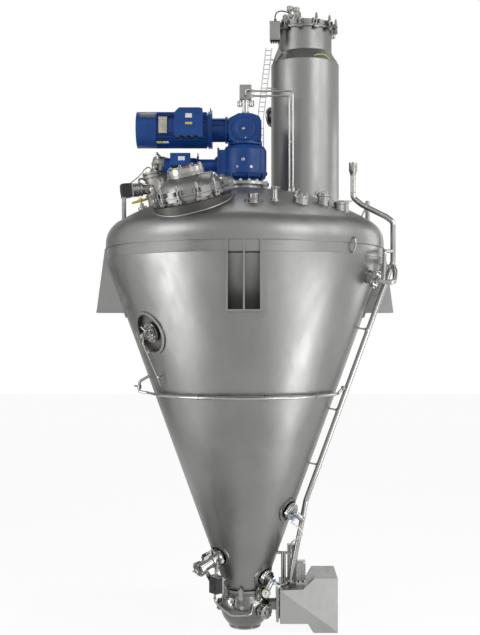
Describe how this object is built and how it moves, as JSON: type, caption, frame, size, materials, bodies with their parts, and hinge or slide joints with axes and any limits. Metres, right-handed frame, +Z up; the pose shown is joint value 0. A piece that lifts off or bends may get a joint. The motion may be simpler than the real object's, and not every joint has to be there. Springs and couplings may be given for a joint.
{
  "type": "conical screw vacuum dryer",
  "caption": "Conical vacuum dryer hung on brackets, with an orbiting screw, blue drives on a domed head, dust filter tower, manway, heating pipe and ball discharge valve.",
  "frame": {"origin": "on the vessel axis, in the plane of the undersides of the bracket feet", "axes": "+Z up along the vessel axis, +X to the actuator box side, -Y towards the manway side"},
  "size_m": [2.762, 2.762, 5.9693],
  "materials": {
    "stainless_satin": "bead blasted stainless steel, soft satin sheen",
    "stainless_band": "fine ground stainless steel",
    "stainless_bright": "polished stainless steel",
    "drive_blue": "deep blue machine paint, semi gloss",
    "rotor_steel": "machined laminated steel",
    "mineral_wool": "mineral wool insulation",
    "filter_felt": "needle felt",
    "wheel_yellow": "yellow powder coat",
    "wire_yellow_green": "yellow and green sheathing",
    "hose_black": "black polyurethane hose",
    "lever_steel": "turned steel with a black grip"
  },
  "bodies": {
    "vessel": {"actuator_box": "stainless_satin", "cable_tray": "stainless_bright", "cone_cladding": "stainless_satin", "discharge_body": "stainless_bright", "drive_pedestal": "stainless_bright", "earth_wire": "wire_yellow_green", "filter_bags": "filter_felt", "filter_cladding": "stainless_satin", "filter_lid_bolts": "stainless_bright", "filter_shell": "stainless_satin", "filter_tube_sheet": "stainless_satin", "gas_pipes": "stainless_bright", "head_cladding": "stainless_satin", "head_fittings": "stainless_bright", "heating_jacket": "stainless_satin", "heating_pipe": "stainless_bright", "inlet_valve": "stainless_bright", "insulation": "mineral_wool", "manway_neck": "stainless_satin", "orbit_gearbox": "drive_blue", "orbit_motor": "drive_blue", "outlet_clamps": "stainless_bright", "probe_nozzles": "stainless_bright", "ring_pipe": "stainless_bright", "rotary_union": "stainless_bright", "sampling_valve": "stainless_bright", "screw_gearbox": "drive_blue", "screw_motor": "drive_blue", "screw_motor_fan_cover": "drive_blue", "screw_motor_lantern": "drive_blue", "side_nozzle": "stainless_bright", "support_frame": "stainless_band", "valve_trim": "stainless_bright", "vessel_cone": "stainless_satin", "vessel_head": "stainless_satin"},
    "orbit": {"orbit_arm": "stainless_satin"},
    "screw_drive_shaft": {"central_shaft": "stainless_bright"},
    "arm_drive_shaft": {"arm_shaft": "stainless_bright"},
    "mixing_screw": {"screw": "stainless_satin"},
    "screw_rotor": {"screw_motor_rotor": "rotor_steel"},
    "orbit_rotor": {"orbit_motor_rotor": "rotor_steel"},
    "manway_cover": {"manway_lid": "stainless_satin", "sight_glass": "stainless_bright"},
    "filter_cover": {"filter_lid": "stainless_satin", "pulse_valves": "stainless_bright", "junction_box": "stainless_bright", "air_hose": "hose_black"},
    "ball": {"discharge_ball": "stainless_bright"},
    "wheel": {"hand_wheel": "wheel_yellow"},
    "lever": {"sampling_lever": "lever_steel"},
    "manway_bolt_1": {"manway_bolt_1": "stainless_bright"},
    "manway_bolt_2": {"manway_bolt_2": "stainless_bright"},
    "manway_bolt_3": {"manway_bolt_3": "stainless_bright"},
    "manway_bolt_4": {"manway_bolt_4": "stainless_bright"},
    "manway_bolt_5": {"manway_bolt_5": "stainless_bright"},
    "manway_bolt_6": {"manway_bolt_6": "stainless_bright"},
    "manway_bolt_7": {"manway_bolt_7": "stainless_bright"},
    "manway_bolt_8": {"manway_bolt_8": "stainless_bright"},
    "manway_bolt_9": {"manway_bolt_9": "stainless_bright"},
    "manway_bolt_10": {"manway_bolt_10": "stainless_bright"}
  },
  "joints": [
    {"name": "orbit", "type": "hinge", "parent": "vessel", "child": "orbit", "pos_m": [0, 0, 0.56], "axis": [0, 0, 1], "continuous": true},
    {"name": "screw_drive", "type": "hinge", "parent": "orbit", "child": "screw_drive_shaft", "pos_m": [0, 0, 0.56], "axis": [0, 0, 1], "continuous": true},
    {"name": "arm_drive", "type": "hinge", "parent": "orbit", "child": "arm_drive_shaft", "pos_m": [0, 0, 0.56], "axis": [1, 0, 0], "continuous": true},
    {"name": "screw_spin", "type": "hinge", "parent": "orbit", "child": "mixing_screw", "pos_m": [1.08389, 0, 0.56], "axis": [0.3399, 0, 0.9405], "continuous": true},
    {"name": "screw_motor_spin", "type": "hinge", "parent": "vessel", "child": "screw_rotor", "pos_m": [-0.6, 0, 1.725], "axis": [1, 0, 0], "continuous": true},
    {"name": "orbit_motor_spin", "type": "hinge", "parent": "vessel", "child": "orbit_rotor", "pos_m": [-0.58, 0, 1.391], "axis": [1, 0, 0], "continuous": true},
    {"name": "manway_hinge", "type": "hinge", "parent": "vessel", "child": "manway_cover", "pos_m": [-0.12084, -0.84813, 1.13226], "axis": [0, 0.9744, 0.2248], "range_deg": [0, 100]},
    {"name": "filter_lift", "type": "slide", "parent": "vessel", "child": "filter_cover", "axis": [0, 0, 1], "range_m": [0, 0.4]},
    {"name": "ball_turn", "type": "hinge", "parent": "vessel", "child": "ball", "pos_m": [0, 0, -2.745], "axis": [1, 0, 0], "range_deg": [0, 90]},
    {"name": "wheel_turn", "type": "hinge", "parent": "vessel", "child": "wheel", "pos_m": [-0.95629, -0.25542, 1.02912], "axis": [-0.2601, -0.0695, 0.9631], "range_deg": [0, 1080]},
    {"name": "lever_turn", "type": "hinge", "parent": "vessel", "child": "lever", "pos_m": [-0.27374, -0.24648, -2.25839], "axis": [-0.2526, -0.2274, 0.9405], "range_deg": [0, 90]},
    {"name": "swing_bolt_1", "type": "hinge", "parent": "vessel", "child": "manway_bolt_1", "pos_m": [-0.23129, -0.60336, 1.09356], "axis": [-0.6919, 0.7218, 0.017], "range_deg": [0, 68]},
    {"name": "swing_bolt_2", "type": "hinge", "parent": "vessel", "child": "manway_bolt_2", "pos_m": [-0.37386, -0.51465, 1.08323], "axis": [-0.9452, 0.2969, -0.1357], "range_deg": [0, 68]},
    {"name": "swing_bolt_3", "type": "hinge", "parent": "vessel", "child": "manway_bolt_3", "pos_m": [-0.53848, -0.50686, 1.04946], "axis": [-0.9452, -0.2075, -0.2521], "range_deg": [0, 68]},
    {"name": "swing_bolt_4", "type": "hinge", "parent": "vessel", "child": "manway_bolt_4", "pos_m": [-0.68105, -0.58207, 1.0013], "axis": [-0.6919, -0.6563, -0.3009], "range_deg": [0, 68]},
    {"name": "swing_bolt_5", "type": "hinge", "parent": "vessel", "child": "manway_bolt_5", "pos_m": [-0.76336, -0.72014, 0.95166], "axis": [-0.2533, -0.9292, -0.2691], "range_deg": [0, 68]},
    {"name": "swing_bolt_6", "type": "hinge", "parent": "vessel", "child": "manway_bolt_6", "pos_m": [-0.76336, -0.88406, 0.91384], "axis": [0.2533, -0.9532, -0.1652], "range_deg": [0, 68]},
    {"name": "swing_bolt_7", "type": "hinge", "parent": "vessel", "child": "manway_bolt_7", "pos_m": [-0.68105, -1.02992, 0.89797], "axis": [0.6919, -0.7218, -0.017], "range_deg": [0, 68]},
    {"name": "swing_bolt_8", "type": "hinge", "parent": "vessel", "child": "manway_bolt_8", "pos_m": [-0.53848, -1.11863, 0.90831], "axis": [0.9452, -0.2969, 0.1357], "range_deg": [0, 68]},
    {"name": "swing_bolt_9", "type": "hinge", "parent": "vessel", "child": "manway_bolt_9", "pos_m": [-0.37386, -1.12643, 0.94207], "axis": [0.9452, 0.2075, 0.2521], "range_deg": [0, 68]},
    {"name": "swing_bolt_10", "type": "hinge", "parent": "vessel", "child": "manway_bolt_10", "pos_m": [-0.23129, -1.05121, 0.99023], "axis": [0.6919, 0.6563, 0.3009], "range_deg": [0, 68]}
  ],
  "couplings": [
    {"joint": "arm_drive", "follows": "screw_drive", "ratio": -1},
    {"joint": "screw_spin", "follows": "screw_drive", "ratio": 1}
  ]
}
